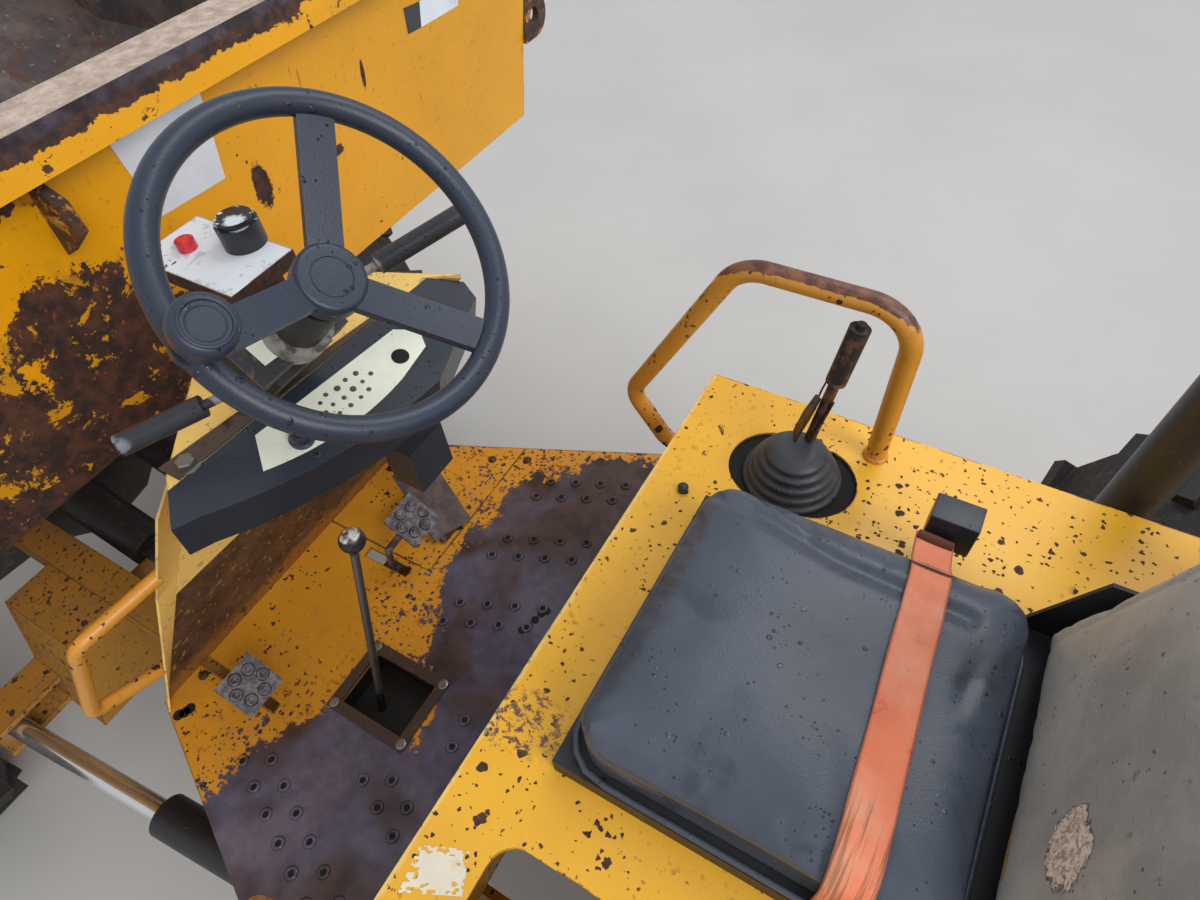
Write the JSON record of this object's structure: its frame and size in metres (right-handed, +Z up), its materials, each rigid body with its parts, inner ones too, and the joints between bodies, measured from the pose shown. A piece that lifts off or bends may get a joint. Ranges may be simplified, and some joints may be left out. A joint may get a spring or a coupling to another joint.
{
  "type": "articulated site dumper",
  "caption": "Articulated site dumper: straight-tip skip in front, open operator's place with steering wheel, seat, hoop rails and roll bar, engine behind.",
  "frame": {"origin": "on the ground under the middle of the machine's bounding box", "axes": "+X forward towards the skip's lip, +Y to the operator's left, +Z up"},
  "size_m": [5.15, 2.5198, 2.8996],
  "materials": {
    "skip_yellow": "worn chrome-yellow paint with rust",
    "cab_yellow": "yellow paint with rust specks",
    "rusty_plate": "rusted and stained plate",
    "chassis_paint": "dirty yellow paint",
    "axle_iron": "dusty dark paint",
    "wheel_paint": "yellow paint with dried mud",
    "tyre_rubber": "dusty black",
    "pin_steel": "greased steel",
    "ram_paint": "black paint",
    "rod_chrome": "polished",
    "roll_bar_paint": "yellow paint",
    "vinyl": "wet black vinyl",
    "black_plastic": "wet black moulding",
    "cream_panel": "faded cream",
    "wheel_plastic": "wet dark blue-grey",
    "rubber_black": "grey-black rubber",
    "webbing": "faded red-orange webbing",
    "white_bracket": "chipped white paint on a rusty foot",
    "button_mix": "red lens and black cap",
    "lamp_red": "red lenses",
    "engine_iron": "oily"
  },
  "bodies": {
    "rear": {"belt_buckle": "black_plastic", "chassis_pins": "pin_steel", "column_stalks": "black_plastic", "control_bracket": "white_bracket", "control_buttons": "button_mix", "counterweight": "axle_iron", "dash_moulding": "black_plastic", "dash_panel": "cream_panel", "engine_block": "engine_iron", "engine_deck": "cab_yellow", "exhaust": "axle_iron", "floor_plates": "rusty_plate", "fuse_block": "black_plastic", "gear_lever": "pin_steel", "gear_lever_frame": "rusty_plate", "grab_handle": "cab_yellow", "handbrake_gaiter": "rubber_black", "handbrake_lever": "pin_steel", "hoop_rails": "cab_yellow", "lap_belt": "webbing", "pedals": "pin_steel", "rear_axle": "axle_iron", "rear_chassis": "chassis_paint", "rear_lamps": "lamp_red", "roll_bar": "roll_bar_paint", "seat_backrest": "vinyl", "seat_cushion": "vinyl", "seat_pan": "rusty_plate", "seat_plinth": "cab_yellow", "side_steps": "chassis_paint", "side_tanks": "chassis_paint", "steering_column": "ram_paint", "toe_board": "rusty_plate", "tow_hitch": "axle_iron", "tower_cowl": "cab_yellow", "tower_front": "cab_yellow", "tower_sides": "cab_yellow"},
    "front": {"front_axle": "axle_iron", "front_chassis": "chassis_paint"},
    "skip": {"skip_tub": "skip_yellow", "skip_rim": "skip_yellow", "skip_lugs": "skip_yellow", "skip_underframe": "skip_yellow"},
    "tipping_barrels": {"tipping_ram_barrels": "ram_paint"},
    "tipping_rods": {"tipping_ram_rods": "rod_chrome"},
    "steering_barrel": {"steering_ram_barrel": "ram_paint"},
    "steering_rod": {"steering_ram_rod": "rod_chrome"},
    "steering_wheel_body": {"steering_wheel": "wheel_plastic", "spinner_knob": "wheel_plastic"},
    "engine_cover_body": {"engine_cover": "cab_yellow", "rear_grille": "cab_yellow"},
    "wheel_front_left": {"tyre_front_left": "tyre_rubber", "rim_front_left": "wheel_paint"},
    "wheel_front_right": {"tyre_front_right": "tyre_rubber", "rim_front_right": "wheel_paint"},
    "wheel_rear_left": {"tyre_rear_left": "tyre_rubber", "rim_rear_left": "wheel_paint"},
    "wheel_rear_right": {"tyre_rear_right": "tyre_rubber", "rim_rear_right": "wheel_paint"}
  },
  "joints": [
    {"name": "articulation", "type": "hinge", "parent": "rear", "child": "front", "pos_m": [-0.105, 0, 0.7], "axis": [0, 0, 1], "range_deg": [-33, 33]},
    {"name": "skip_tip", "type": "hinge", "parent": "front", "child": "skip", "pos_m": [2.13, 0, 1], "axis": [0, 1, 0], "range_deg": [0, 65]},
    {"name": "tipping_ram_swing", "type": "hinge", "parent": "front", "child": "tipping_barrels", "pos_m": [0.75, 0, 0.78], "axis": [0, -1, 0], "range_deg": [0, 9.6]},
    {"name": "tipping_ram_slide", "type": "slide", "parent": "tipping_barrels", "child": "tipping_rods", "axis": [0.9599, 0, 0.2804], "range_m": [0, 0.36]},
    {"name": "steering_ram_swing", "type": "hinge", "parent": "rear", "child": "steering_barrel", "pos_m": [-0.435, 0.48, 0.61], "axis": [0, 0, 1], "range_deg": [-26.5, 26.5]},
    {"name": "steering_ram_slide", "type": "slide", "parent": "steering_barrel", "child": "steering_rod", "axis": [0.996, 0.0899, 0], "range_m": [-0.29, 0.29]},
    {"name": "steering_wheel_turn", "type": "hinge", "parent": "rear", "child": "steering_wheel_body", "pos_m": [-0.283, 0, 1.946], "axis": [-0.6997, 0, 0.7145], "continuous": true},
    {"name": "engine_cover_lift", "type": "hinge", "parent": "rear", "child": "engine_cover_body", "pos_m": [-2.43, 0, 0.985], "axis": [0, -1, 0], "range_deg": [0, 60]},
    {"name": "wheel_front_left_spin", "type": "hinge", "parent": "front", "child": "wheel_front_left", "pos_m": [1.475, 0.95, 0.58], "axis": [0, 1, 0], "continuous": true},
    {"name": "wheel_front_right_spin", "type": "hinge", "parent": "front", "child": "wheel_front_right", "pos_m": [1.475, -0.95, 0.58], "axis": [0, 1, 0], "continuous": true},
    {"name": "wheel_rear_left_spin", "type": "hinge", "parent": "rear", "child": "wheel_rear_left", "pos_m": [-1.675, 0.95, 0.58], "axis": [0, 1, 0], "continuous": true},
    {"name": "wheel_rear_right_spin", "type": "hinge", "parent": "rear", "child": "wheel_rear_right", "pos_m": [-1.675, -0.95, 0.58], "axis": [0, 1, 0], "continuous": true}
  ],
  "couplings": [
    {"joint": "tipping_ram_swing", "follows": "skip_tip", "ratio": 0.145},
    {"joint": "tipping_ram_slide", "follows": "skip_tip", "m_per_rad": 0.315},
    {"joint": "steering_ram_swing", "follows": "articulation", "ratio": 0.79},
    {"joint": "steering_ram_slide", "follows": "articulation", "m_per_rad": -0.5}
  ]
}
